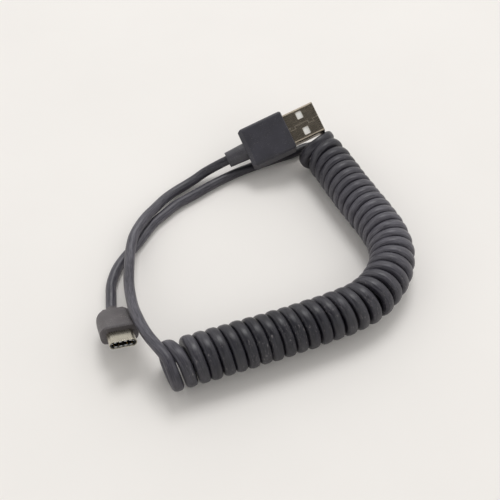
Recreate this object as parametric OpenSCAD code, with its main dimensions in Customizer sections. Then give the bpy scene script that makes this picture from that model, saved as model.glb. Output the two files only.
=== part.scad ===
// Coiled charging cable, put down on a table: a USB-A plug at one end, a USB-C plug
// at the other. The coil bends through a right angle. Both straight leads come back
// along the inside of the bend, one crossing over the other beside the USB-C plug.
// Each plug is drawn along X with its mouth towards +X, and its zero point is the
// middle of the overmould's front face.

/* [Cord and coil] */
// Outer diameter of the cord
cord_d = 3.5; // [2.9:0.1:4.2]
// Outer diameter of the coil
coil_d = 16; // [13:0.5:20]
// Outer diameter of one insulated wire inside the cord
wire_d = 0.8; // [0.6:0.05:0.9]

/* [USB-A shell] */
// Width of the folded metal shell
a_shell_w = 12; // [10:0.1:14.5]
// Height of the folded metal shell
a_shell_h = 4.5; // [4:0.1:5.5]
// Length of shell in front of the overmould
a_shell_out = 12; // [10.5:0.25:14.5]
// Length of shell held inside the overmould
a_shell_in = 6.5; // [5:0.5:8]
// Thickness of the shell's sheet
a_wall = 0.3; // [0.25:0.05:0.4]
// Outside radius of the shell's folds
a_fold_r = 0.9; // [0.6:0.1:1.2]
// Distance from the shell's tip back to the middle of its windows
a_window_back = 6.1; // [5:0.1:7]
// Distance of each window's middle from the centre line
a_window_y = 3.2; // [2.6:0.1:3.6]
// Length of a window along the plug
a_window_l = 2.3; // [1.8:0.1:2.8]
// Width of a window across the plug
a_window_w = 2.9; // [2.2:0.1:3.4]
// Width of the open line where the folded edges meet
a_seam_gap = 0.1; // [0.05:0.01:0.2]
// Length of each dovetail key along the seam
a_key_l = 1.6; // [1:0.1:2]
// Depth of each dovetail key
a_key_deep = 1.1; // [0.6:0.1:1.5]
// How far each flank of a key leans outwards
a_key_flare = 0.25; // [0.1:0.05:0.4]

/* [USB-A contacts and insulator] */
// Thickness of the insulator's blade
a_blade_t = 1.9; // [1.6:0.1:2.1]
// Distance of the blade's end from the shell's tip
a_blade_back = 0.5; // [0.3:0.1:1]
// Depth of the plug's open half, from the shell's tip
a_mouth_deep = 8.8; // [8:0.1:10]
// Width of one contact
a_contact_w = 1; // [0.8:0.1:1.2]
// Thickness of one contact
a_contact_t = 0.3; // [0.2:0.05:0.4]
// Distance of the power contacts from the shell's tip
a_power_back = 1.9; // [1.2:0.1:2.5]
// Distance of the data contacts from the shell's tip
a_data_back = 2.9; // [2.6:0.1:3.6]
// Distance of the outer contacts from the centre line
a_outer_y = 3.5; // [3:0.1:4]
// Distance of the inner contacts from the centre line
a_inner_y = 1; // [0.9:0.1:1.2]
// Length of contact behind the insulator, where the wires are soldered
a_tail_l = 2.4; // [1.8:0.1:3]

/* [USB-A moulding] */
// Width of the overmould
a_body_w = 15.3; // [15:0.1:18.5]
// Thickness of the overmould
a_body_h = 8; // [7.6:0.1:9.6]
// Length of the overmould
a_body_l = 17.4; // [17:0.1:21]
// Radius of the overmould's long edges
a_body_r = 1.3; // [0.8:0.1:2]
// Depth of the sloping band round the overmould's rear face
a_rear_deep = 0.9; // [0.5:0.1:1]
// Length of that band along the plug
a_rear_band = 1.6; // [0.5:0.1:2]
// Chamfer across the top and bottom of the overmould's front face
a_front_chamfer = 0.3; // [0.2:0.1:0.5]
// Chamfer down the sides of the overmould's front face
a_front_corner = 0.8; // [0.3:0.1:1]
// Thickness of overmould round the inner moulding
a_body_wall = 1.2; // [0.9:0.1:1.5]
// Thickness of the overmould's rear wall, which the strain relief's groove holds
a_rear_wall = 1.6; // [1.2:0.1:2.2]
// Length of the strain relief's flange in front of that wall
a_flange_l = 2.2; // [1.5:0.1:3]
// Length of strain relief behind the overmould
a_relief_l = 7.6; // [6:0.2:9.5]
// Diameter of the strain relief where it leaves the overmould
a_relief_d = 6.5; // [6:0.1:7]
// Diameter of the strain relief at its far end
a_relief_end_d = 5.8; // [5.4:0.1:6]
// Depth of the groove round the strain relief
a_groove_deep = 0.5; // [0.3:0.1:0.7]

/* [USB-C shell and housing] */
// Width of the drawn metal shell
c_shell_w = 8.25; // [7:0.05:9.5]
// Height of the drawn metal shell
c_shell_h = 2.4; // [2.3:0.05:2.8]
// Length of shell in front of the overmould
c_shell_out = 6.65; // [6:0.05:8]
// Length of shell held inside the overmould
c_shell_in = 3.2; // [2.6:0.1:4]
// Thickness of the shell's wall
c_wall = 0.2; // [0.15:0.01:0.25]
// Distance of the housing's front from the shell's tip
c_housing_back = 0.6; // [0.4:0.1:1]
// Height of the slot that takes the socket's tongue
c_slot_h = 1.3; // [1.2:0.05:1.4]
// Width of that slot
c_slot_w = 6.75; // [5.8:0.05:7]
// Depth of that slot from the housing's front
c_slot_deep = 5.4; // [5:0.1:5.8]

/* [USB-C contacts and board] */
// Distance from one contact to the next
c_pitch = 0.5; // [0.48:0.01:0.52]
// Width of one contact
c_contact_w = 0.25; // [0.2:0.01:0.3]
// Thickness of one contact
c_contact_t = 0.12; // [0.1:0.01:0.15]
// Rise of each contact's spring bow into the slot
c_bow = 0.22; // [0.1:0.02:0.3]
// Length of contact soldered to the board
c_tail_l = 1.3; // [1:0.1:1.6]
// Thickness of the side latch
c_latch_t = 0.3; // [0.2:0.05:0.4]
// Width of each latch arm
c_latch_w = 0.35; // [0.25:0.05:0.45]
// Thickness of the ground springs
c_spring_t = 0.1; // [0.08:0.01:0.12]
// Width of each ground spring
c_spring_w = 5.4; // [4.6:0.1:5.6]
// Length of each ground spring along the plug
c_spring_l = 1.6; // [1.2:0.1:2]
// Fingers on each ground spring
c_fingers = 4; // [3:1:6]
// Length of the circuit board
c_board_l = 5.6; // [5:0.1:6]
// Width of the circuit board
c_board_w = 6.8; // [6:0.1:7.4]
// Thickness of the circuit board
c_board_t = 0.8; // [0.6:0.1:1]
// Length of the pull-up resistor
c_resistor_l = 1; // [0.8:0.1:1.6]
// Width of the pull-up resistor
c_resistor_w = 0.5; // [0.4:0.1:0.8]
// Height of the pull-up resistor
c_resistor_h = 0.35; // [0.3:0.05:0.5]
// Length of wire soldered to the board
c_solder_l = 1.4; // [1:0.1:1.8]

/* [USB-C moulding] */
// Width of the overmould
c_body_w = 11.8; // [11:0.1:14.8]
// Thickness of the overmould
c_body_h = 6; // [5.8:0.1:7.2]
// Length of the overmould
c_body_l = 13; // [12.5:0.1:15.4]
// Radius of the overmould's long edges
c_body_r = 2.4; // [1.5:0.1:2.6]
// Length of the curving shoulders at the rear
c_shoulder_l = 4; // [2.5:0.1:5]
// Width of the rear face between the shoulders
c_rear_w = 6; // [5.4:0.1:8]
// Chamfer round the front face
c_front_chamfer = 0.5; // [0.2:0.1:0.8]
// Length of the neck behind the overmould
c_neck_l = 3.2; // [1:0.1:4]
// Diameter of the neck where it leaves the overmould
c_neck_d = 5; // [4.7:0.1:5.6]
// Diameter of the neck at its end
c_neck_end_d = 4.3; // [4.2:0.1:5]
// Width of the inner moulding
c_core_w = 9; // [8.8:0.1:9.8]
// Thickness of the inner moulding
c_core_h = 4.2; // [4:0.1:4.6]
// Length of the inner moulding
c_core_l = 7.3; // [7:0.1:8]
// Corner radius of the inner moulding
c_core_r = 1.2; // [0.8:0.1:1.5]

/* [Hidden] */
$fn = 32;

// Gap between pieces that slide together when the plugs are assembled
fit = 0.03;
// How far a cutting shape runs past the face that it cuts
past = 0.5;
// A cord is drawn with eight sides, a wire with six and the coil with twenty
cord_sides = 8;
wire_sides = 6;
coil_sides = 20;

// Moves the whole cable so that the middle of its outline lies over the origin
centre_shift = [0.4, 0.7, 0];

// The turns of each plug about X, Y and Z in that order
a_turn = [27, -17, 19];
c_turn = [-8, -29, -69];
// How far the lowest corner of each overmould stays above the table, held by its lead
a_corner_up = 2.2;
c_corner_up = 0.4;
// How far the lowest corner of an overmould lies below the plug's zero point
function corner_drop(turn, l, w, h) = l * sin(-turn[1])
    + cos(turn[1]) * (w / 2 * abs(sin(turn[0])) + h / 2 * cos(turn[0]));
// Where each plug's zero point lies
a_at = [10.3, 45.9, a_corner_up + corner_drop(a_turn, a_body_l, a_body_w, a_body_h)];
c_at = [-43.7, -39.4, c_corner_up + corner_drop(c_turn, c_body_l, c_body_w, c_body_h)];
function plug_dir(turn) =
    [cos(turn[1]) * cos(turn[2]), cos(turn[1]) * sin(turn[2]), -sin(turn[1])];
function a_point(x) = a_at + x * plug_dir(a_turn);
function c_point(x) = c_at + x * plug_dir(c_turn);

// Places along the USB-A plug
a_in_w = a_shell_w - 2 * a_wall;
a_in_h = a_shell_h - 2 * a_wall;
a_blade_top = a_in_h / 2 - fit;
a_blade_low = a_blade_top - a_blade_t;
a_contact_top = a_blade_low + a_contact_t;
a_core_end = -a_body_l + a_rear_wall + a_flange_l;
a_relief_end = -a_body_l - a_relief_l;
a_window_x = a_shell_out - a_window_back;
a_key_places = [a_key_l, a_shell_out - a_key_l - a_key_l];

// Places along the USB-C plug
c_in_w = c_shell_w - 2 * c_wall;
c_in_h = c_shell_h - 2 * c_wall;
c_out_h = c_in_h - 2 * fit;
c_housing_front = c_shell_out - c_housing_back;
c_slot_end = c_housing_front - c_slot_deep;
c_core_end = -c_shell_in - c_core_l;
c_neck_end = -c_body_l - c_neck_l;
c_board_front = -c_shell_in - fit;
c_board_end = c_board_front - c_board_l;

// Height of a wire's middle above what it is soldered to, with a flat side down
wire_rise = wire_d / 2 * cos(180 / wire_sides);
// Distance of each wire's middle from the cord's middle at the cord's end
wire_off = 0.78 * wire_d;

// The coil's middle line, with one of its flat sides down on the table
coil_z = coil_d / 2 * cos(180 / coil_sides);
coil_route = [for (p = [
    [-29.5, -49], [-22, -47], [-14, -44.5], [-6, -42], [2, -39], [10, -36],
    [17.5, -33], [24.5, -30], [30, -27], [35, -23.5], [39, -19], [42, -13.5],
    [43.5, -7.5], [43.5, -1.5], [42.5, 4.5], [40.5, 10], [37.5, 16], [34.5, 22],
    [31, 28], [28, 34], [25.5, 39.5]]) [p[0], p[1], coil_z]];
coil_last = len(coil_route) - 1;
coil_start_dir = unit(coil_route[1] - coil_route[0]);
coil_end_dir = unit(coil_route[coil_last] - coil_route[coil_last - 1]);
turn_r = (coil_d - cord_d) / 2;

// Height of a cord's middle where it lies on the table, and where it lies on a cord
lying = cord_d / 2 + 0.05;
crossing = lying + cord_d + 0.1;

// The USB-A lead leaves the strain relief, sinks onto the other lead, passes over the
// shoulder of the USB-C plug and reaches the coil over the top of its first turn
lead_a_route = concat(
    [a_point(a_core_end), a_point(a_relief_end), a_point(a_relief_end - 1.5)],
    [for (p = [
        [-17, 36.5, -0.4], [-21, 34.5, -1.6], [-24.5, 32, -2.6], [-28, 29.5, -3.2],
        [-31.5, 26.5, -3.2], [-35, 22, -2.4], [-38, 16.5, -1.2], [-40.5, 12, -0.4],
        [-42.5, 7.5, 0], [-44, 3, 0], [-44.5, -1, 0], [-44.5, -5.5, 0.2],
        [-44, -12.5, 1.2], [-43.2, -19, 2.4], [-42, -24.5, 3.6], [-40.3, -29.8, 5],
        [-38.3, -34.3, 6.5], [-36.3, -38.2, 7.4], [-34.4, -42, 8], [-32.9, -45.4, 8.4]])
        [p[0], p[1], p[2] + crossing]],
    [coil_route[0] + [0, 0, turn_r]]);

// The USB-C lead leaves the underside of the coil's other end, runs on the table
// under the near edge of the USB-A plug and rises to the USB-C plug's neck
lead_c_route = concat(
    [coil_route[coil_last] - [0, 0, turn_r]],
    [for (p = [
        [24.5, 43.5], [22, 47], [18.5, 49], [15, 48], [9, 45.5], [3, 42.5], [-4, 39],
        [-9.5, 36], [-17, 31], [-24, 25.5], [-31, 20], [-34.5, 16], [-38, 12],
        [-40.5, 7.5], [-43, 2.5], [-45.5, -1.5], [-47.5, -5], [-49, -8.5], [-50, -13],
        [-50.2, -16.5]])
        [p[0], p[1], lying]],
    [[-49.7, -20, lying + 0.3]],
    [c_point(c_neck_end - 1), c_point(c_neck_end), c_point(c_core_end)]);

function unit(v) = v / norm(v);

// Direction of a route at its point i: half way between its two neighbours' directions
function route_dir(route, i, first_dir, last_dir) =
    i == 0 ? (is_undef(first_dir) ? unit(route[1] - route[0]) : first_dir)
    : i == len(route) - 1 ? (is_undef(last_dir) ? unit(route[i] - route[i - 1]) : last_dir)
    : unit(unit(route[i + 1] - route[i]) + unit(route[i] - route[i - 1]));

// Corners of one ring across a route, with a flat side facing down
function ring(at, dir, d, sides) =
    let (side = unit(cross(dir, [0, 0, 1])), up = cross(side, dir))
    [for (k = [0:sides - 1])
        let (a = 90 + 180 / sides + 360 * k / sides)
        at + d / 2 * (cos(a) * side + sin(a) * up)];

// A route with both its ends carried on, for a channel that a swept rod lies in
function run_on(route, by) =
    let (n = len(route) - 1)
    [route[0] + by * unit(route[0] - route[1]), for (i = [1:n - 1]) route[i],
     route[n] + by * unit(route[n] - route[n - 1])];

// A closed rod swept along a route
module swept(route, d, sides, first_dir = undef, last_dir = undef) {
    rings = len(route);
    corners = [for (i = [0:rings - 1])
        each ring(route[i], route_dir(route, i, first_dir, last_dir), d, sides)];
    walls = [for (i = [0:rings - 2], k = [0:sides - 1])
        let (a = i * sides + k, b = i * sides + (k + 1) % sides)
        each [[a, b, a + sides], [b, b + sides, a + sides]]];
    first_cap = [for (k = [sides - 1:-1:0]) k];
    last_cap = [for (k = [0:sides - 1]) (rings - 1) * sides + k];
    polyhedron(points = corners, faces = concat(walls, [first_cap, last_cap]));
}

module on_usb_a() {
    translate(a_at + centre_shift) rotate(a_turn) children();
}

module on_usb_c() {
    translate(c_at + centre_shift) rotate(c_turn) children();
}

// A flat outline across the plug, carried along it from x0 to x1
module along_x(x0, x1) {
    translate([x0, 0, 0]) rotate([90, 0, 90]) linear_extrude(height = x1 - x0) children();
}

// A flat outline in the plug's side view, carried across it from y0 to y1
module along_y(y0, y1) {
    translate([0, y1, 0]) rotate([90, 0, 0]) linear_extrude(height = y1 - y0) children();
}

// A flat outline in the plug's plan, carried up from z0 to z1
module along_z(z0, z1) {
    translate([0, 0, z0]) linear_extrude(height = z1 - z0) children();
}

// The lower row of pieces is the upper row mirrored
module flipped(side) {
    if (side > 0) children();
    else mirror([0, 0, 1]) children();
}

// A round rod along the plug, tapering if the two diameters differ
module round_x(x0, x1, d0, d1) {
    translate([x0, 0, 0]) rotate([0, 90, 0]) cylinder(h = x1 - x0, d1 = d0, d2 = d1);
}

module rounded(w, h, r) {
    square([w - 2 * r, h], center = true);
    square([w, h - 2 * r], center = true);
    for (x = [-1, 1], y = [-1, 1])
        translate([x * (w / 2 - r), y * (h / 2 - r)]) circle(r);
}

module stadium(w, h) {
    square([w - h, h], center = true);
    for (x = [-1, 1]) translate([x * (w - h) / 2, 0]) circle(h / 2);
}

// An oblong block: rounded long edges, and slopes round its rear and front faces. Each
// slope is given by its length along the block and its depth
module sloped_block(l, w, h, r, rear_l, rear, side, top) {
    intersection() {
        along_x(-l, 0) rounded(w, h, r);
        along_z(-h, h) polygon([
            [-l, -w / 2 + rear], [-l + rear_l, -w / 2], [-side, -w / 2],
            [0, -w / 2 + side], [0, w / 2 - side], [-side, w / 2],
            [-l + rear_l, w / 2], [-l, w / 2 - rear]]);
        along_y(-w, w) polygon([
            [-l, -h / 2 + rear], [-l + rear_l, -h / 2], [-top, -h / 2],
            [0, -h / 2 + top], [0, h / 2 - top], [-top, h / 2],
            [-l + rear_l, h / 2], [-l, h / 2 - rear]]);
    }
}

// USB-A plug

module a_core_block(grow = 0) {
    along_x(a_core_end, -a_shell_in + grow)
        rounded(a_body_w - 2 * a_body_wall, a_body_h - 2 * a_body_wall, a_fold_r);
}

module a_relief_body() {
    groove_d = a_relief_d - 2 * a_groove_deep;
    round_x(-a_body_l - past / 2, a_core_end - a_flange_l + past / 2, groove_d, groove_d);
    round_x(a_core_end - a_flange_l, a_core_end, a_relief_d, a_relief_d);
    round_x(a_relief_end, -a_body_l, a_relief_end_d, a_relief_d);
}

module usb_a_overmould() {
    color([0.13, 0.13, 0.15]) on_usb_a() difference() {
        sloped_block(a_body_l, a_body_w, a_body_h, a_body_r, a_rear_band, a_rear_deep,
            a_front_corner, a_front_chamfer);
        along_x(-a_shell_in, past) rounded(a_shell_w, a_shell_h, a_fold_r);
        a_core_block();
        a_relief_body();
    }
}

module usb_a_strain_relief() {
    color([0.15, 0.15, 0.17]) on_usb_a() difference() {
        a_relief_body();
        round_x(a_relief_end - past, a_core_end + past, cord_d, cord_d);
    }
}

// One dovetail key of the seam, as the open line round it
module a_key_line() {
    wide = a_key_l / 2 + a_key_flare;
    difference() {
        polygon([[-a_key_l / 2 - a_seam_gap, 0], [-wide - a_seam_gap, -a_key_deep - a_seam_gap],
            [wide + a_seam_gap, -a_key_deep - a_seam_gap], [a_key_l / 2 + a_seam_gap, 0]]);
        polygon([[-a_key_l / 2, a_seam_gap], [-wide, -a_key_deep],
            [wide, -a_key_deep], [a_key_l / 2, a_seam_gap]]);
    }
}

// The seam: a straight line broken by two keys of the far edge in the near edge
module a_seam_line() {
    difference() {
        translate([-a_shell_in - past, 0])
            square([a_shell_in + a_shell_out + 2 * past, a_seam_gap]);
        for (x = a_key_places) translate([x - a_key_l / 2, -past])
            square([a_key_l, 2 * past]);
    }
    for (x = a_key_places) translate([x, a_seam_gap]) a_key_line();
}

module usb_a_shell() {
    color([0.72, 0.71, 0.69]) on_usb_a() difference() {
        along_x(-a_shell_in, a_shell_out) rounded(a_shell_w, a_shell_h, a_fold_r);
        along_x(-a_shell_in - past, a_shell_out + past)
            rounded(a_in_w, a_in_h, a_fold_r - a_wall);
        for (y = [-1, 1]) along_z(-a_shell_h, a_shell_h)
            translate([a_window_x, y * a_window_y])
            rounded(a_window_l, a_window_w, a_wall);
        along_z(a_in_h / 2 - past, a_shell_h / 2 + past) a_seam_line();
    }
}

// Outline of a contact in side view: its nose is folded up into the blade
module a_contact_side(front_back) {
    nose = a_shell_out - front_back;
    polygon([
        [-a_shell_in - a_tail_l, a_blade_low], [nose, a_blade_low],
        [nose, a_contact_top + a_contact_t], [nose - a_contact_t, a_contact_top + a_contact_t],
        [nose - a_contact_t, a_contact_top], [-a_shell_in - a_tail_l, a_contact_top]]);
}

module a_contact(y, front_back) {
    color([0.85, 0.68, 0.3]) on_usb_a()
        along_y(y - a_contact_w / 2, y + a_contact_w / 2) a_contact_side(front_back);
}

// The slot in the insulator that one contact is pressed into
module a_contact_slot(y, front_back) {
    nose = a_shell_out - front_back;
    wide = a_contact_w + 2 * fit;
    translate([-a_shell_in - past, y - wide / 2, a_blade_low])
        cube([nose + fit + a_shell_in + past, wide, a_contact_t]);
    translate([nose - a_contact_t - fit, y - wide / 2, a_blade_low])
        cube([a_contact_t + 2 * fit, wide, 2 * a_contact_t + fit]);
    translate([-a_shell_in - past, y - wide / 2, a_blade_low - past])
        cube([past, wide, past + fit]);
}

module usb_a_insulator() {
    w = a_in_w - 2 * fit;
    color([0.93, 0.93, 0.91]) on_usb_a() difference() {
        union() {
            along_x(-a_shell_in, a_shell_out - a_mouth_deep)
                rounded(w, a_in_h - 2 * fit, a_fold_r - a_wall);
            intersection() {
                along_x(-a_shell_in, a_shell_out - a_blade_back)
                    rounded(w, a_in_h - 2 * fit, a_fold_r - a_wall);
                translate([-a_shell_in, -w / 2, a_blade_low])
                    cube([a_shell_in + a_shell_out, w, a_blade_t]);
            }
        }
        for (s = [-1, 1]) {
            a_contact_slot(s * a_outer_y, a_power_back);
            a_contact_slot(s * a_inner_y, a_data_back);
        }
    }
}

// A wire runs from its contact's tail, turns in and reaches its place in the cord's end
function a_wire_route(y, row) =
    let (solder_z = a_contact_top + wire_rise, s = sign(y))
    [[-a_shell_in, y, solder_z], [-a_shell_in - a_tail_l, y, solder_z],
     [a_core_end + 1, s * wire_off, row * wire_off],
     [a_core_end, s * wire_off, row * wire_off]];

module a_wire(y, row, tint) {
    color(tint) on_usb_a() swept(a_wire_route(y, row), wire_d, wire_sides);
}

module usb_a_inner_moulding() {
    color([0.85, 0.85, 0.8]) on_usb_a() difference() {
        a_core_block();
        for (s = [-1, 1]) {
            for (p = [a_outer_y, a_inner_y])
                translate([-a_shell_in - a_tail_l, s * p - a_contact_w / 2, a_blade_low])
                    cube([a_tail_l + past, a_contact_w, a_contact_t]);
            swept(run_on(a_wire_route(s * a_outer_y, 1), past), wire_d, wire_sides);
            swept(run_on(a_wire_route(s * a_inner_y, -1), past), wire_d, wire_sides);
        }
    }
}

// Cord

module lead_usb_a() {
    color([0.16, 0.16, 0.18]) translate(centre_shift)
        swept(lead_a_route, cord_d, cord_sides, last_dir = coil_start_dir);
}

module coil() {
    color([0.16, 0.16, 0.18]) translate(centre_shift) swept(coil_route, coil_d, coil_sides);
}

module lead_usb_c() {
    color([0.16, 0.16, 0.18]) translate(centre_shift)
        swept(lead_c_route, cord_d, cord_sides, first_dir = coil_end_dir);
}

// USB-C plug

module c_core_block() {
    along_x(c_core_end, -c_shell_in) rounded(c_core_w, c_core_h, c_core_r);
}

// Plan of one curving shoulder, from the rear face forwards at t = 0 to 1
function c_shoulder(side, steps) =
    [for (t = steps) [-c_body_l + t * c_shoulder_l,
        side * (c_rear_w / 2 + (c_body_w - c_rear_w) / 4 * (1 - cos(180 * t)))]];

module usb_c_overmould() {
    color([0.2, 0.2, 0.22]) on_usb_c() difference() {
        union() {
            intersection() {
                sloped_block(c_body_l, c_body_w, c_body_h, c_body_r, c_front_chamfer,
                    c_front_chamfer, c_front_chamfer, c_front_chamfer);
                along_z(-c_body_h, c_body_h) polygon(concat(
                    c_shoulder(-1, [0:0.2:1]), [[past, -c_body_w / 2], [past, c_body_w / 2]],
                    c_shoulder(1, [1:-0.2:0])));
            }
            round_x(c_neck_end, -c_body_l + past, c_neck_end_d, c_neck_d);
        }
        along_x(-c_shell_in, past) stadium(c_shell_w, c_shell_h);
        c_core_block();
        round_x(c_neck_end - past, c_core_end + past / 2, cord_d, cord_d);
    }
}

module usb_c_shell() {
    color([0.74, 0.74, 0.7]) on_usb_c() difference() {
        along_x(-c_shell_in, c_shell_out) stadium(c_shell_w, c_shell_h);
        along_x(-c_shell_in - past, c_shell_out + past) stadium(c_in_w, c_in_h);
    }
}

// The recess on the housing's outer face that a ground spring lies in
module c_spring_seat(side) {
    low = c_out_h / 2 - c_spring_t;
    flipped(side)
        translate([c_housing_front - c_spring_l, -c_spring_w / 2, low])
        cube([c_spring_l + past, c_spring_w, past]);
}

module usb_c_housing() {
    slot_mid = (c_slot_end + c_housing_front + past) / 2;
    color([0.1, 0.1, 0.1]) on_usb_c() difference() {
        along_x(-c_shell_in, c_housing_front) stadium(c_in_w - 2 * fit, c_out_h);
        translate([slot_mid, 0, 0])
            cube([c_housing_front + past - c_slot_end, c_slot_w, c_slot_h], center = true);
        for (side = [-1, 1]) {
            c_spring_seat(side);
            for (i = [0, 3, 4, 5, 6, 8, 11]) c_contact_slot(i, side);
        }
    }
}

function c_contact_y(i, side) = side * (i - 5.5) * c_pitch;

// The lower row has no contact at places 5, 6 and 7
module c_contact_slot(i, side) {
    wide = c_contact_w + 2 * fit;
    if (side > 0 || i < 4 || i > 7)
        translate([-c_shell_in - past, c_contact_y(i, side) - wide / 2,
            side > 0 ? c_slot_h / 2 - c_contact_t : -c_slot_h / 2])
        cube([c_slot_end + c_shell_in + 2 * past, wide, c_contact_t]);
}

// Side view of a contact: a bow near the mouth, and a tail stepped onto the board
module c_contact_side() {
    top = c_slot_h / 2;
    low = top - c_contact_t;
    board = c_board_t / 2;
    front = c_housing_front - 0.3;
    tail = c_board_front - c_tail_l;
    step = c_board_front - 0.2;
    polygon([
        [tail, board], [step, board], [c_board_front, low], [front - 2.4, low],
        [front - 1.3, low - c_bow], [front - 0.9, low - c_bow], [front, low],
        [front, top], [front - 0.3, top], [front - 0.9, top - c_bow], [front - 1.3, top - c_bow],
        [front - 2.4, top], [c_board_front - 0.05, top], [step - 0.05, board + c_contact_t],
        [tail, board + c_contact_t]]);
}

module c_contact(i, side) {
    y = c_contact_y(i, side);
    color([0.86, 0.7, 0.34]) on_usb_c()
        flipped(side) along_y(y - c_contact_w / 2, y + c_contact_w / 2) c_contact_side();
}

// Corners of one arm of the latch, from the inside of its root round to the outside
function c_latch_arm(s, order) =
    let (arm_y = c_slot_w / 2 - c_latch_w, front = c_housing_front - 0.4,
        corners = [[c_slot_end + 0.6, arm_y], [front - 1.6, arm_y], [front - 1.1, arm_y - 0.3],
            [front - 0.8, arm_y - 0.3], [front, arm_y], [front, c_slot_w / 2],
            [c_slot_end, c_slot_w / 2]])
    [for (k = order) [corners[k][0], s * corners[k][1]]];

module usb_c_latch() {
    color([0.7, 0.7, 0.72]) on_usb_c() along_z(-c_latch_t / 2, c_latch_t / 2) {
        polygon(concat(c_latch_arm(1, [0:6]), c_latch_arm(-1, [6:-1:0])));
    }
}

module c_spring(side) {
    top = c_out_h / 2;
    finger_w = c_spring_w / (2 * c_fingers - 1);
    color([0.66, 0.66, 0.68]) on_usb_c() flipped(side) {
        translate([c_housing_front - c_spring_l, -c_spring_w / 2, top - c_spring_t])
            cube([c_spring_l, c_spring_w, c_spring_t]);
        for (k = [0:c_fingers - 1])
            along_y(-c_spring_w / 2 + 2 * k * finger_w, -c_spring_w / 2 + (2 * k + 1) * finger_w)
            polygon([
                [c_housing_front - c_spring_t, top], [c_housing_front + 0.15, top],
                [c_housing_front + 0.3, top - 0.15], [c_housing_front + 0.3, c_slot_h / 2 - 0.1],
                [c_housing_front + 0.2, c_slot_h / 2 - 0.1], [c_housing_front + 0.2, top - 0.19],
                [c_housing_front + 0.11, top - c_spring_t],
                [c_housing_front - c_spring_t, top - c_spring_t]]);
    }
}

module usb_c_board() {
    color([0.1, 0.35, 0.2]) on_usb_c()
        translate([c_board_end, -c_board_w / 2, -c_board_t / 2])
        cube([c_board_l, c_board_w, c_board_t]);
}

module c_resistor_block() {
    translate([c_board_end + 1.2, -c_board_w / 2 + 0.6, c_board_t / 2])
        cube([c_resistor_w, c_resistor_l, c_resistor_h]);
}

module usb_c_resistor() {
    color([0.12, 0.12, 0.13]) on_usb_c() c_resistor_block();
}

function c_wire_route(s, side) =
    let (z = side * (c_board_t / 2 + wire_rise))
    [[c_board_end + c_solder_l, s * wire_off, z], [c_core_end, s * wire_off, z]];

module c_wire(s, side, tint) {
    color(tint) on_usb_c() swept(c_wire_route(s, side), wire_d, wire_sides);
}

module usb_c_inner_moulding() {
    color([0.85, 0.85, 0.8]) on_usb_c() difference() {
        c_core_block();
        translate([c_board_end, -c_board_w / 2, -c_board_t / 2])
            cube([c_board_l + past, c_board_w, c_board_t]);
        c_resistor_block();
        for (side = [-1, 1]) {
            for (s = [-1, 1])
                swept(run_on(c_wire_route(s, side), past), wire_d, wire_sides);
            flipped(side)
                translate([c_board_front - c_tail_l, -6 * c_pitch, c_board_t / 2])
                cube([c_tail_l + past, 12 * c_pitch, c_slot_h / 2 - c_board_t / 2]);
        }
    }
}

usb_a_overmould();
usb_a_strain_relief();
usb_a_shell();
usb_a_insulator();
a_contact(a_outer_y, a_power_back);  // usb_a_contact_power
a_contact(a_inner_y, a_data_back);  // usb_a_contact_data_minus
a_contact(-a_inner_y, a_data_back);  // usb_a_contact_data_plus
a_contact(-a_outer_y, a_power_back);  // usb_a_contact_ground
usb_a_inner_moulding();
a_wire(a_outer_y, 1, "red");  // usb_a_wire_power
a_wire(a_inner_y, -1, "white");  // usb_a_wire_data_minus
a_wire(-a_inner_y, -1, "green");  // usb_a_wire_data_plus
a_wire(-a_outer_y, 1, "black");  // usb_a_wire_ground
lead_usb_a();
coil();
lead_usb_c();
usb_c_overmould();
usb_c_shell();
usb_c_housing();
usb_c_latch();
c_spring(1);  // usb_c_spring_upper
c_spring(-1);  // usb_c_spring_lower
c_contact(0, 1);  // usb_c_contact_a1
c_contact(3, 1);  // usb_c_contact_a4
c_contact(4, 1);  // usb_c_contact_a5
c_contact(5, 1);  // usb_c_contact_a6
c_contact(6, 1);  // usb_c_contact_a7
c_contact(8, 1);  // usb_c_contact_a9
c_contact(11, 1);  // usb_c_contact_a12
c_contact(0, -1);  // usb_c_contact_b1
c_contact(3, -1);  // usb_c_contact_b4
c_contact(8, -1);  // usb_c_contact_b9
c_contact(11, -1);  // usb_c_contact_b12
usb_c_board();
usb_c_resistor();
usb_c_inner_moulding();
c_wire(1, 1, "red");  // usb_c_wire_power
c_wire(-1, 1, "white");  // usb_c_wire_data_minus
c_wire(-1, -1, "green");  // usb_c_wire_data_plus
c_wire(1, -1, "black");  // usb_c_wire_ground
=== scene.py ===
"""Looks of a coiled charging cable, lying on a pale table as in the photograph.

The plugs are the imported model's own pieces with procedural materials. The cord is one
mesh tube from plug to plug: a smooth lead, a helix round the coil's bent middle line,
and a second smooth lead. Named lengths are millimetres, or metres where the name ends
in _M, and named angles are degrees. The frame is in metres.
"""

import math

import bpy
import numpy as np
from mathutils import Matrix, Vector


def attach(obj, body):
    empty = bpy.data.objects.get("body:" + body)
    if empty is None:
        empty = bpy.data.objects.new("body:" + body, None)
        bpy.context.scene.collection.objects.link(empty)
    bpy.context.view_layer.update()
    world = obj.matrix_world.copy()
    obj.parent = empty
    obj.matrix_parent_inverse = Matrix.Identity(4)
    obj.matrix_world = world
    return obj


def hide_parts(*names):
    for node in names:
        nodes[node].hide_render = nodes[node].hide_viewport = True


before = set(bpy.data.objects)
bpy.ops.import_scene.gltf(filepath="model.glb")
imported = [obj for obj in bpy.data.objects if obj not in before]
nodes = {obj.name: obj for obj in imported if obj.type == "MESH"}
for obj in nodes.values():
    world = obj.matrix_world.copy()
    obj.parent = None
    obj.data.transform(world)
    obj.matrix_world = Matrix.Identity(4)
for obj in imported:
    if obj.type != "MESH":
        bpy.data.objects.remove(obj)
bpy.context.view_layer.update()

MM = 0.001
UP = np.array([0.0, 0.0, 1.0])

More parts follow.
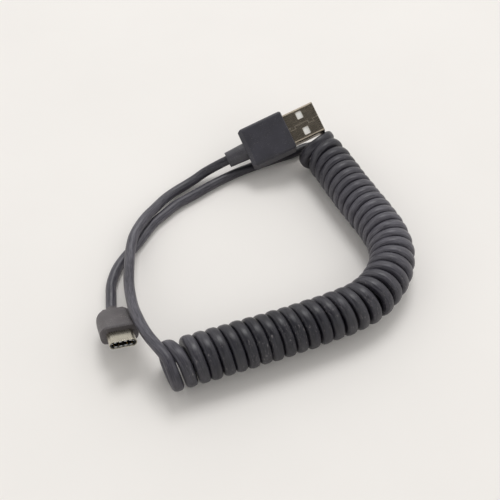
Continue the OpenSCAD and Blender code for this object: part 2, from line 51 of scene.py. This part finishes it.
# Where the plugs lie and how they are turned about X, Y and Z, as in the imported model
CENTRE_SHIFT = np.array([0.4, 0.7, 0.0])
A_AT = np.array([10.3, 45.9, 14.017])
A_TURN = [27, -17, 19]
C_AT = np.array([-43.7, -39.4, 10.019])
C_TURN = [-8, -29, -69]
# How far along each plug the cord's ends, the strain relief's end and the neck's end lie
A_CORE_END = -13.6
A_RELIEF_END = -25.0
C_NECK_END = -16.2
C_CORE_END = -10.5
# How far the cord keeps straight on behind the strain relief and behind the neck
A_STRAIGHT = 1.5
C_STRAIGHT = 1.0

# The cord
CORD_D = 3.5
CORD_R = CORD_D / 2
CORD_SIDES = 28
# In the coil the turns press on each other and the cord is squarer there: half its
# thickness out from the coil's middle line, half its width as a share of the turns'
# spacing and between which limits, how much squarer, and over which length this comes
PRESSED_THICK = 1.7
PRESSED_SHARE = 0.495
PRESSED_LIMITS = (1.6, 1.93)
PRESSED_SQUARER = 0.55
PRESSED_OVER = 14

# Steps along a line, how many points go between two given ones, and over how many
# neighbours on each side a line is smoothed
FINE_STEP = 0.25
PATH_STEP = 1.0
AXIS_PER_SPAN = 24
CORD_PER_SPAN = 8
AXIS_REACH = 20
KNOT_REACH = 16
PATH_REACH = 5
# A step of the cord is in the coil if it is this near to the helix, of which every
# second point is looked at
ON_HELIX = 0.6
HELIX_SKIP = 2

# The coil's middle line on the table, seen from above. A scratch script fitted it to the
# coil's outlines in the photograph, and its last three points were set by hand
COIL_AXIS = [
    [-29.6, -49.9], [-21.6, -47.2], [-13.3, -44.4], [-5.3, -41.6], [2.8, -38.8],
    [11, -35.8], [18.9, -32.6], [26.7, -29.3], [34, -24.9], [39.6, -18.2],
    [43, -10.6], [43.2, -2.3], [40.3, 6], [36.4, 13.5], [32.5, 21.1], [28.7, 29],
    [25.2, 36.5], [19.5, 45.2], [17.9, 47.6]]
# Knots along that line, each a length along it and the value there: the coil's outer
# radius, how many turns the cord has made, and how the turns are yawed and leant. They
# come from scratch scripts too, which fitted the outlines and followed the turns
COIL_OUTER_R = [[0, 7.93], [50, 7.65], [90, 7.62], [144, 7.87]]
TURNS_MADE = [
    [0, -0.3], [1.25, 0], [5, 0.93], [8.75, 1.84], [12.5, 2.78], [16.25, 3.76],
    [20, 4.72], [27.5, 6.64], [35, 8.56], [42.5, 10.49], [50, 12.36], [57.5, 14.17],
    [65, 15.99], [72.5, 17.73], [80, 19.53], [87.5, 21.54], [95, 23.65], [102.5, 25.84],
    [110, 28.07], [117.5, 30.35], [125, 32.58], [132.5, 34.68], [137.9, 36], [145.3, 37],
    [147.6, 37.5]]
TURN_YAW = [[5, -1], [12, -2.5], [42, -2.5], [50, -4.5], [61, -4.5], [66, -2.5], [73, -0.5],
            [80, 1.5], [92, 3.5], [103, 7], [114, 7.5], [119, 5.5], [126, 1], [132, -0.5]]
TURN_LEAN = [[8, 0], [15, -2], [65, -2], [73, -12], [80, -12], [86, -10], [106, -10],
             [112, -8], [134, -8]]
STEPS_PER_TURN = 60
START_ANGLE = 12
# Unevenness from turn to turn, and how fast it comes and goes as the cord goes round
WOBBLE_YAW = 0.5
WOBBLE_LEAN = 0.4
WOBBLE_R = 0.05
WOBBLE_SLOW = 0.37
WOBBLE_FAST = 0.61
# The cord keeps this far inside the coil's outer radius
SLACK = 0.03
# The last turn leans back: the direction of its own middle line, where the lean starts
# and is complete, and how much wider this turn is
LAST_TURN_DIR = np.array([-0.52, 0.746, 0.416])
LAST_TURN_FROM = 139.5
LAST_TURN_AT = 144.0
LAST_TURN_WIDER = 0.5
# The first turn stands off the second at its underside and back: how far, and at which
# share of the turn it is furthest off and how much of a turn it takes either way
FIRST_TURN_OFF = 2.6
FIRST_TURN_FURTHEST = 0.72
FIRST_TURN_SPAN = 0.42
# Room beside a turn at the coil's ends, where there is no neighbour
FREE_ROOM = 4.5

# The leads, from the USB-A strain relief to the coil and from the coil to the USB-C neck.
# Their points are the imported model's, apart from the nearest ones to the coil
LEAD_A = [
    [-17, 36.5, 5], [-21, 34.5, 3.8], [-24.5, 32, 2.8], [-28, 29.5, 2.2],
    [-31.5, 26.5, 2.2], [-35, 22, 3], [-38, 16.5, 4.2], [-40.5, 12, 5],
    [-42.5, 7.5, 5.4], [-44, 3, 5.4], [-44.5, -1, 5.4], [-44.5, -5.5, 5.6],
    [-44, -12.5, 6.6], [-43.2, -19, 7.8], [-42, -24.5, 9], [-40.4, -30, 10.4],
    [-38.5, -34.6, 11.9], [-36.6, -38.5, 12.8], [-34.3, -42.3, 13.4],
    [-32, -45.3, 13.8], [-30, -47.8, 14.1]]
LEAD_C = [
    [12.2, 46.6, 1.8], [9.3, 45.3, 1.8], [3.3, 42.6, 1.8], [-4, 39, 1.8],
    [-9.5, 36, 1.8], [-17, 31, 1.8], [-24, 25.5, 1.8], [-31, 20, 1.8],
    [-34.5, 16, 1.8], [-38, 12, 1.8], [-40.5, 7.5, 1.8], [-43, 2.5, 1.8],
    [-45.5, -1.5, 1.8], [-47.5, -5, 1.8], [-49, -8.5, 1.8], [-50, -13, 1.8],
    [-50.2, -16.5, 1.8], [-49.7, -20, 2.1]]

# Materials: the jacket beside and on its streaks, where it is dark and where it is pale
# with dust and painted sheen, the front of the coil, where it is scuffed most, and the table's
# mottle
DARK_JACKET = [(0.006, 0.0058, 0.009), (0.026, 0.025, 0.034)]
DUSTY_SHEEN_JACKET = [(0.038, 0.036, 0.046), (0.125, 0.12, 0.142)]
SCUFFED_MOST_AT = (14.0, -42.0, 6.0)
SCUFF = (0.2, 0.185, 0.19)
DUST = (0.4, 0.37, 0.36)
TABLE_TONES = [(0.85, 0.825, 0.795), (0.87, 0.845, 0.815)]
MOULDING_LINES = 0.7
EDGE_ROUNDING = 0.16

# Light: a pale room, with the photographer leaning over the table as its one dark part.
# The room's strength low down and overhead, how much more comes from beyond the table,
# how much the photographer takes away, and between which angles from their direction
SKY_COLOUR = (1, 0.99, 0.975, 1)
SKY_LOW = 0.85
SKY_HIGH = 1.0
SKY_BEYOND = 0.1
SHADE_AMOUNT = 0.9
SHADE_DIR = Vector((-0.12, -0.3, 0.945)).normalized()
SHADE_OUTER = 38
SHADE_INNER = 14
# The key light, high up beyond the table and turned to the middle of the object
KEY_AT_M = (0.1, 1.1, 2.0)
KEY_SIZE_M = 1.0
KEY_WATTS = 15

# The table's width, and the camera as fitted to the photograph, tilted up from straight
# down
TABLE_SIZE_M = 3.0
CAMERA_AT_M = (-0.0036, -0.1593, 0.206)
CAMERA_TILT = 38
CAMERA_LENS = 54
CAMERA_SENSOR = 36


def plug_dir(turn):
    """Direction in which a plug's mouth points."""
    pitch, yaw = math.radians(turn[1]), math.radians(turn[2])
    return np.array([math.cos(pitch) * math.cos(yaw), math.cos(pitch) * math.sin(yaw),
                     -math.sin(pitch)])


def along_plug(at, turn, x):
    """The point x along a plug's own X axis, without the centre shift."""
    return at + x * plug_dir(turn)


def unit(v):
    return v / np.linalg.norm(v, axis=-1, keepdims=True)


def through(points, per_span):
    """A centripetal Catmull-Rom line through the points."""
    p = np.array(points, float)
    p = np.vstack([2 * p[0] - p[1], p, 2 * p[-1] - p[-2]])
    spans = []
    for i in range(1, len(p) - 2):
        p0, p1, p2, p3 = p[i - 1:i + 3]
        t0 = 0.0
        t1 = t0 + math.sqrt(np.linalg.norm(p1 - p0))
        t2 = t1 + math.sqrt(np.linalg.norm(p2 - p1))
        t3 = t2 + math.sqrt(np.linalg.norm(p3 - p2))
        t = np.linspace(t1, t2, per_span, endpoint=False)[:, None]
        a1 = ((t1 - t) * p0 + (t - t0) * p1) / (t1 - t0)
        a2 = ((t2 - t) * p1 + (t - t1) * p2) / (t2 - t1)
        a3 = ((t3 - t) * p2 + (t - t2) * p3) / (t3 - t2)
        b1 = ((t2 - t) * a1 + (t - t0) * a2) / (t2 - t0)
        b2 = ((t3 - t) * a2 + (t - t1) * a3) / (t3 - t1)
        spans.append(((t2 - t) * b1 + (t - t1) * b2) / (t2 - t1))
    return np.vstack(spans + [p[-2][None]])


def lengths_along(line):
    return np.concatenate([[0], np.cumsum(np.linalg.norm(np.diff(line, axis=0), axis=1))])


def resampled(at, along, line):
    """The line's points at the places at, where along says how far along each point is."""
    return np.stack([np.interp(at, along, line[:, k]) for k in range(3)], axis=1)


def evenly(line, step):
    """The line again, with its points step apart."""
    along = lengths_along(line)
    at = np.linspace(0, along[-1], max(2, round(along[-1] / step) + 1))
    return resampled(at, along, line)


def smoothed(line, reach):
    """The line with each point averaged over reach neighbours on both sides."""
    weights = np.hanning(2 * reach + 3)[1:-1]
    weights /= weights.sum()
    before = 2 * line[0] - line[reach:0:-1]
    after = 2 * line[-1] - line[-2:-reach - 2:-1]
    padded = np.vstack([before, line, after])
    return np.stack([np.convolve(padded[:, k], weights, "valid") for k in range(3)], axis=1)


def eased(x):
    """0 below 0, 1 above 1, and a smooth step between."""
    x = np.clip(x, 0, 1)
    return x * x * (3 - 2 * x)


def at_knots(s, knots):
    """The knots' values along s, with the corners rounded."""
    values = np.interp(s, [k[0] for k in knots], [k[1] for k in knots])
    return smoothed(np.stack([values] * 3, axis=1), KNOT_REACH)[:, 0]


def coil_strand():
    """The middle line of the cord in the coil, a right-handed helix round COIL_AXIS
    whose turns are spaced, yawed and leant as measured, and the way out from its axis."""
    flat = np.array([[x, y, 0] for x, y in COIL_AXIS]) + CENTRE_SHIFT
    axis = evenly(through(flat, AXIS_PER_SPAN), FINE_STEP)
    axis = evenly(smoothed(axis, AXIS_REACH), FINE_STEP)
    s = lengths_along(axis)
    ahead = unit(np.gradient(axis, axis=0))
    outer_r = at_knots(s, COIL_OUTER_R)
    axis[:, 2] = outer_r
    angle = at_knots(s, TURNS_MADE) * 2 * math.pi

    # The direction round which the cord turns
    wobble = np.sin(angle * WOBBLE_SLOW) + np.sin(angle * WOBBLE_FAST + 1)
    yaw = np.radians(at_knots(s, TURN_YAW) + WOBBLE_YAW * wobble)[:, None]
    lean = np.radians(at_knots(s, TURN_LEAN) - WOBBLE_LEAN * wobble)[:, None]
    normal = ahead * np.cos(yaw) + np.cross(ahead, UP) * np.sin(yaw)
    normal = normal * np.cos(lean) + UP * np.sin(lean)
    last = eased((s - LAST_TURN_FROM) / (LAST_TURN_AT - LAST_TURN_FROM))[:, None]
    normal = unit(normal * (1 - last) + LAST_TURN_DIR * last)
    e_up = unit(UP - (normal @ UP)[:, None] * normal)
    e_side = np.cross(normal, e_up)

    # Round and round, a fixed angle a step
    fine = np.arange(math.radians(START_ANGLE), angle[-1], math.radians(360 / STEPS_PER_TURN))
    middle, e_up, e_side = (resampled(fine, angle, line) for line in (axis, e_up, e_side))
    outer_r = outer_r + LAST_TURN_WIDER * last[:, 0]
    turns = fine / (2 * math.pi)
    off = FIRST_TURN_OFF * eased(1 - np.abs(turns - FIRST_TURN_FURTHEST) / FIRST_TURN_SPAN)
    middle = middle - off[:, None] * ahead[0]
    radius = np.interp(fine, angle, outer_r) - PRESSED_THICK - SLACK
    radius = radius + WOBBLE_R * np.sin(fine * WOBBLE_SLOW)
    out = unit(np.cos(fine)[:, None] * e_up + np.sin(fine)[:, None] * e_side)
    return middle + radius[:, None] * out, out


def cord_path():
    """The cord's middle line from plug to plug, then the helix in it and its ways out."""
    behind_relief = A_RELIEF_END - A_STRAIGHT
    lead_a = [along_plug(A_AT, A_TURN, x) for x in (A_CORE_END, A_RELIEF_END, behind_relief)]
    lead_a = np.array(lead_a + LEAD_A) + CENTRE_SHIFT
    behind_neck = C_NECK_END - C_STRAIGHT
    lead_c = [along_plug(C_AT, C_TURN, x) for x in (behind_neck, C_NECK_END, C_CORE_END)]
    lead_c = np.array(LEAD_C + lead_c) + CENTRE_SHIFT
    helix, out = coil_strand()
    whole = evenly(through(np.vstack([lead_a, helix, lead_c]), CORD_PER_SPAN), FINE_STEP)
    return evenly(smoothed(whole, PATH_REACH), PATH_STEP), helix, out


def sections(path, helix, out):
    """For each step of the path: the way ahead, the first direction of the cord's
    section, half its thickness that way, half its width across, and how squared its
    outline is. In the coil the first direction points out from the coil."""
    ahead = unit(np.gradient(path, axis=0))
    # The helix's nearest point to each step, which counts for the steps in the coil
    gap = np.linalg.norm(path[:, None, :] - helix[None, ::HELIX_SKIP, :], axis=2)
    nearest = gap.argmin(axis=1) * HELIX_SKIP
    coiled = np.where(gap.min(axis=1) < ON_HELIX)[0]
    first, last = coiled[0], coiled[-1]
    one = np.zeros_like(path)
    one[first:last + 1] = out[nearest[first:last + 1]]
    # From the coil's ends the direction is carried along both leads without a twist
    for i in range(first, len(path)):
        guide = one[i] if i <= last else one[i - 1]
        one[i] = unit(guide - (guide @ ahead[i]) * ahead[i])
    for i in range(first - 1, -1, -1):
        one[i] = unit(one[i + 1] - (one[i + 1] @ ahead[i]) * ahead[i])
    # Room beside the cord: how far off the same place in the turns before and after is
    room = np.linalg.norm(helix[STEPS_PER_TURN:] - helix[:-STEPS_PER_TURN], axis=1)
    free = np.full(STEPS_PER_TURN, FREE_ROOM)
    before = np.concatenate([free, room])[nearest]
    after = np.concatenate([room, free])[nearest]
    half = np.clip(PRESSED_SHARE * (before + after) / 2, *PRESSED_LIMITS)
    step = np.arange(len(path), dtype=float)
    within = eased((step - first) / PRESSED_OVER) * eased((last - step) / PRESSED_OVER)
    thick = CORD_R + (PRESSED_THICK - CORD_R) * within
    width = CORD_R + (half - CORD_R) * within
    # The power of the section's outline, of which 2 is round
    squared = 2 + PRESSED_SQUARER * within
    return ahead, one, thick, width, squared


def tube(name, path, ahead, one, thick, width, squared, sides):
    """A closed tube along the path. Each point keeps its place along and across the
    straightened cord for the material."""
    a = (2 * math.pi * np.arange(sides) / sides)[None, :, None]
    power = (2 / squared)[:, None, None]
    u = np.sign(np.cos(a)) * np.abs(np.cos(a)) ** power * thick[:, None, None]
    v = np.sign(np.sin(a)) * np.abs(np.sin(a)) ** power * width[:, None, None]
    two = np.cross(ahead, one)
    rings = path[:, None, :] + u * one[:, None, :] + v * two[:, None, :]
    s = np.broadcast_to(lengths_along(path)[:, None, None], u.shape)
    places = np.concatenate([s, u, v], axis=2)
    faces = []
    for i in range(len(path) - 1):
        for k in range(sides):
            p, q = i * sides + k, i * sides + (k + 1) % sides
            faces.append([p, q, q + sides, p + sides])
    faces.append(list(range(sides - 1, -1, -1)))
    faces.append(list(range((len(path) - 1) * sides, len(path) * sides)))
    mesh = bpy.data.meshes.new(name)
    mesh.from_pydata((rings.reshape(-1, 3) * MM).tolist(), [], faces)
    mesh.polygons.foreach_set("use_smooth", [True] * (len(faces) - 2) + [False] * 2)
    place = mesh.attributes.new("cord_place", "FLOAT_VECTOR", "POINT")
    place.data.foreach_set("vector", places.ravel())
    mesh.validate()
    piece = bpy.data.objects.new(name, mesh)
    bpy.context.scene.collection.objects.link(piece)
    return piece


class Nodes:
    """A node tree that is put together step by step."""

    def __init__(self, tree):
        self.tree = tree

    def add(self, kind, inputs, **settings):
        node = self.tree.nodes.new("ShaderNode" + kind)
        for key, value in settings.items():
            setattr(node, key, value)
        for key, value in inputs.items():
            self.give(node.inputs[key], value)
        return node

    def give(self, socket, value):
        if isinstance(value, bpy.types.NodeSocket):
            self.tree.links.new(value, socket)
        else:
            socket.default_value = value

    def vector(self, operation, a, b):
        """A vector operation. b is the factor where the operation is SCALE."""
        second = "Scale" if operation == "SCALE" else 1
        node = self.add("VectorMath", {0: a, second: b}, operation=operation)
        return node.outputs["Value" if operation in ("DOT_PRODUCT", "DISTANCE") else "Vector"]

    def number(self, operation, a, b=0.0):
        return self.add("Math", {0: a, 1: b}, operation=operation).outputs[0]

    def spread(self, value, low, high, to_low=0.0, to_high=1.0):
        """The value between low and high, spread between to_low and to_high."""
        node = self.add("MapRange", {0: value, 1: low, 2: high, 3: to_low, 4: to_high})
        return node.outputs[0]


class Look(Nodes):
    """A procedural material. Its lengths are millimetres."""

    def __init__(self, name):
        self.material = bpy.data.materials.new(name)
        self.material.use_nodes = True
        super().__init__(self.material.node_tree)
        self.tree.nodes.clear()
        self.shader = self.add("BsdfPrincipled", {})
        self.add("OutputMaterial", {0: self.shader.outputs[0]})
        self.at = self.vector("SCALE", self.add("TexCoord", {}).outputs["Object"], 1 / MM)

    def set(self, key, value):
        self.give(self.shader.inputs[key], value)

    def noise(self, grain, at=None, detail=3.0, rough=0.55):
        """Noise between 0 and 1 whose grains are about so many millimetres across."""
        node = self.add("TexNoise", {"Vector": at or self.at, "Scale": 1.0 / grain,
                                     "Detail": detail, "Roughness": rough})
        return node.outputs[0]

    def mix(self, share, a, b):
        node = self.add("Mix", {0: share, 6: (*a, 1) if isinstance(a, tuple) else a,
                                7: (*b, 1) if isinstance(b, tuple) else b},
                        data_type="RGBA")
        return node.outputs[2]

    def bump(self, height, deep, under=None):
        """A bump so many millimetres deep."""
        inputs = {"Height": height, "Distance": deep * MM, "Strength": 1.0}
        if under is not None:
            inputs["Normal"] = under
        return self.add("Bump", inputs).outputs[0]


def times(colour, factor):
    return tuple(min(1, c * factor) for c in colour)


def varied(name, colour, roughness, metallic=0.0, shade=0.15):
    """A plain substance with a fine grain and slightly uneven colour and gloss."""
    look = Look(name)
    broad = look.spread(look.noise(3.5), 0.35, 0.65)
    fine = look.noise(0.25)
    look.set("Base Color", look.mix(broad, times(colour, 1 - shade), times(colour, 1 + shade)))
    look.set("Roughness", look.spread(fine, 0.3, 0.7, roughness - 0.08, roughness + 0.08))
    look.set("Metallic", metallic)
    look.set("Normal", look.bump(fine, 0.004))
    return look.material


def jacket():
    """Satin rubber with fine lengthwise streaks, dust and scuffs, and a painted sheen where it
    is paler.
    """
    look = Look("cord_jacket_look")
    place = look.add("Attribute", {}, attribute_name="cord_place").outputs["Vector"]
    streaks = look.noise(0.28, look.vector("MULTIPLY", place, (0.09, 1.0, 1.0)), 4.0)
    faint = look.noise(2.6, look.vector("MULTIPLY", place, (0.3, 1.0, 1.0)), 2.0)
    # Paler round the USB-C plug and beyond the front of the coil, up to the USB-A plug;
    # this paleness is partly dust and partly a painted sheen
    near_c = look.vector("DISTANCE", look.at, tuple(C_AT + CENTRE_SHIFT - [0, 0, 4]))
    far = look.add("SeparateXYZ", {0: look.at}).outputs[1]
    beyond = look.number("MINIMUM", look.spread(far, -36.0, -6.0),
                         look.spread(far, 44.0, 12.0))
    pale = look.number("MAXIMUM", look.spread(near_c, 34.0, 14.0), beyond)
    streaked = look.spread(streaks, 0.35, 0.7)
    dark_part = look.mix(streaked, *DARK_JACKET)
    dusty_sheen_part = look.mix(streaked, *DUSTY_SHEEN_JACKET)
    colour = look.mix(pale, dark_part, dusty_sheen_part)
    # Scuffs: short specks in patches, on faces turned to the front, and most of them
    # along the front of the coil
    specks = look.noise(0.55, look.vector("MULTIPLY", place, (0.6, 1.0, 1.0)), 5.0, 0.7)
    patches = look.noise(7.0, None, 2.0)
    worn = look.number("MULTIPLY", look.spread(specks, 0.56, 0.68),
                       look.spread(patches, 0.42, 0.58))
    facing = look.add("SeparateXYZ", {0: look.add("NewGeometry", {}).outputs["Normal"]})
    worn = look.number("MULTIPLY", worn, look.spread(facing.outputs[1], 0.35, -0.4))
    in_front = look.vector("DISTANCE", look.at, SCUFFED_MOST_AT)
    worn = look.number("MULTIPLY", worn, look.spread(in_front, 60.0, 16.0, 0.3, 1.0))
    look.set("Base Color", look.mix(worn, colour, SCUFF))
    gloss = look.spread(streaks, 0.3, 0.7, 0.3, 0.46)
    look.set("Roughness", look.number("ADD", gloss, look.number("MULTIPLY", worn, 0.4)))
    look.set("Specular IOR Level", look.spread(faint, 0.3, 0.7, 0.3, 0.55))
    look.set("Normal", look.bump(worn, 0.03, look.bump(streaks, 0.02)))
    return look.material


def moulding(name, colour, roughness, dust, lines_along=None):
    """Moulded plastic with a spark-eroded grain, dust, and if asked faint moulding lines
    across the given direction."""
    look = Look(name)
    grain = look.noise(0.16, None, 2.0)
    broad = look.spread(look.noise(5.0), 0.35, 0.65)
    base = look.mix(broad, times(colour, 0.85), times(colour, 1.15))
    specks = look.noise(0.4, None, 5.0, 0.72)
    worn = look.number("MULTIPLY", look.spread(specks, 0.56, 0.68),
                       look.spread(look.noise(4.0, None, 2.0), 0.4, 0.62, 0.0, dust))
    look.set("Base Color", look.mix(worn, base, DUST))
    look.set("Roughness", look.spread(grain, 0.3, 0.7, roughness - 0.06, roughness + 0.1))
    normal = look.bump(grain, 0.008)
    if lines_along is not None:
        along = look.vector("DOT_PRODUCT", look.at, tuple(lines_along))
        wave = look.number("SINE", look.number("MULTIPLY", along, 2 * math.pi / MOULDING_LINES))
        normal = look.bump(wave, 0.012, normal)
    look.set("Normal", normal)
    return look.material


def steel(name, colour, roughness, brushed_along):
    """Plated sheet: brushed one way, a little uneven in gloss and tone, and with edges
    that catch the light as rounded ones do."""
    look = Look(name)
    along = look.vector("DOT_PRODUCT", look.at, tuple(brushed_along))
    back = look.vector("SCALE", tuple(brushed_along), look.number("MULTIPLY", along, -0.93))
    brushed = look.noise(0.12, look.vector("ADD", look.at, back), 4.0)
    broad = look.spread(look.noise(3.5), 0.35, 0.65)
    look.set("Base Color", look.mix(broad, times(colour, 0.85), colour))
    look.set("Metallic", 1.0)
    look.set("Roughness", look.spread(brushed, 0.3, 0.7, roughness - 0.06, roughness + 0.08))
    rounded = look.add("Bevel", {"Radius": EDGE_ROUNDING * MM}, samples=6)
    look.set("Normal", look.bump(brushed, 0.0015, rounded.outputs[0]))
    return look.material


def table():
    """Pale matt table with a faint mottle."""
    look = Look("table_look")
    broad = look.spread(look.noise(60.0), 0.3, 0.7)
    fine = look.noise(0.5, None, 2.0)
    look.set("Base Color", look.mix(broad, *TABLE_TONES))
    look.set("Roughness", look.spread(fine, 0.3, 0.7, 0.55, 0.65))
    look.set("Normal", look.bump(fine, 0.01))
    return look.material


# The cord
path, helix, out_from_axis = cord_path()
cord = tube("cord", path, *sections(path, helix, out_from_axis), CORD_SIDES)
cord.data.materials.append(jacket())
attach(cord, "root")
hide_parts("lead_usb_a", "coil", "lead_usb_c")

# The plugs' own pieces, by the record's slots
a_way = plug_dir(A_TURN)
c_way = plug_dir(C_TURN)
LOOKS = {
    "plug_moulding": moulding("plug_moulding_look", (0.034, 0.033, 0.043), 0.42, 0.25),
    "strain_relief": moulding("strain_relief_look", (0.05, 0.048, 0.056), 0.4, 0.3),
    "small_plug_moulding": moulding("small_plug_look", (0.078, 0.07, 0.074), 0.45, 0.8, c_way),
    "folded_steel": steel("folded_steel_look", (0.46, 0.4, 0.32), 0.24, a_way),
    "drawn_steel": steel("drawn_steel_look", (0.5, 0.47, 0.39), 0.26, c_way),
    "spring_steel": steel("spring_steel_look", (0.6, 0.6, 0.6), 0.3, c_way),
    "white_insulator": varied("white_insulator_look", (0.82, 0.81, 0.78), 0.4, shade=0.03),
    "black_insulator": varied("black_insulator_look", (0.02, 0.02, 0.02), 0.5),
    "gold_contact": varied("gold_contact_look", (0.8, 0.6, 0.25), 0.3, 1.0),
    "inner_plastic": varied("inner_plastic_look", (0.72, 0.71, 0.66), 0.5),
    "board": varied("board_look", (0.03, 0.16, 0.07), 0.3),
    "resistor": varied("resistor_look", (0.03, 0.03, 0.03), 0.5),
    "wire_red": varied("wire_red_look", (0.5, 0.03, 0.03), 0.35),
    "wire_black": varied("wire_black_look", (0.02, 0.02, 0.02), 0.35),
    "wire_white": varied("wire_white_look", (0.78, 0.78, 0.78), 0.35, shade=0.05),
    "wire_green": varied("wire_green_look", (0.03, 0.3, 0.08), 0.35),
}
for node in nodes.values():
    for own in node.material_slots:
        base = own.material.name.split(".")[0]
        if base in LOOKS:
            own.material = LOOKS[base]

# Table
bpy.ops.mesh.primitive_plane_add(size=TABLE_SIZE_M)
floor = bpy.context.object
floor.name = "table_top"
floor.data.materials.append(table())

# The room's light
world = bpy.data.worlds.new("studio")
bpy.context.scene.world = world
world.use_nodes = True
room = Nodes(world.node_tree)
way = room.add("TexCoord", {}).outputs["Generated"]
parts = room.add("SeparateXYZ", {0: way})
height = room.spread(parts.outputs[2], 0.0, 1.0, SKY_LOW, SKY_HIGH)
beyond = room.spread(parts.outputs[1], -1.0, 1.0, 1 - SKY_BEYOND, 1 + SKY_BEYOND)
shade = room.add("MapRange", {0: room.vector("DOT_PRODUCT", way, SHADE_DIR),
                              1: math.cos(math.radians(SHADE_OUTER)),
                              2: math.cos(math.radians(SHADE_INNER)),
                              3: 1.0, 4: 1 - SHADE_AMOUNT},
                 interpolation_type="SMOOTHSTEP").outputs[0]
background = world.node_tree.nodes["Background"]
room.give(background.inputs[0], SKY_COLOUR)
room.give(background.inputs[1],
          room.number("MULTIPLY", room.number("MULTIPLY", height, beyond), shade))

# The key light
lamp = bpy.data.lights.new("key", "AREA")
lamp.shape = "DISK"
lamp.size = KEY_SIZE_M
lamp.energy = KEY_WATTS
key = bpy.data.objects.new("key", lamp)
key.location = KEY_AT_M
key.rotation_mode = "QUATERNION"
key.rotation_quaternion = (-Vector(key.location)).to_track_quat("-Z", "Y")
bpy.context.scene.collection.objects.link(key)

# Camera
camera = bpy.data.objects.new("camera", bpy.data.cameras.new("camera"))
camera.data.lens = CAMERA_LENS
camera.data.sensor_width = CAMERA_SENSOR
camera.location = CAMERA_AT_M
camera.rotation_euler = (math.radians(CAMERA_TILT), 0, 0)
camera.data.clip_start = 0.01
bpy.context.scene.collection.objects.link(camera)
bpy.context.scene.camera = camera
bpy.context.scene.view_settings.view_transform = "Standard"
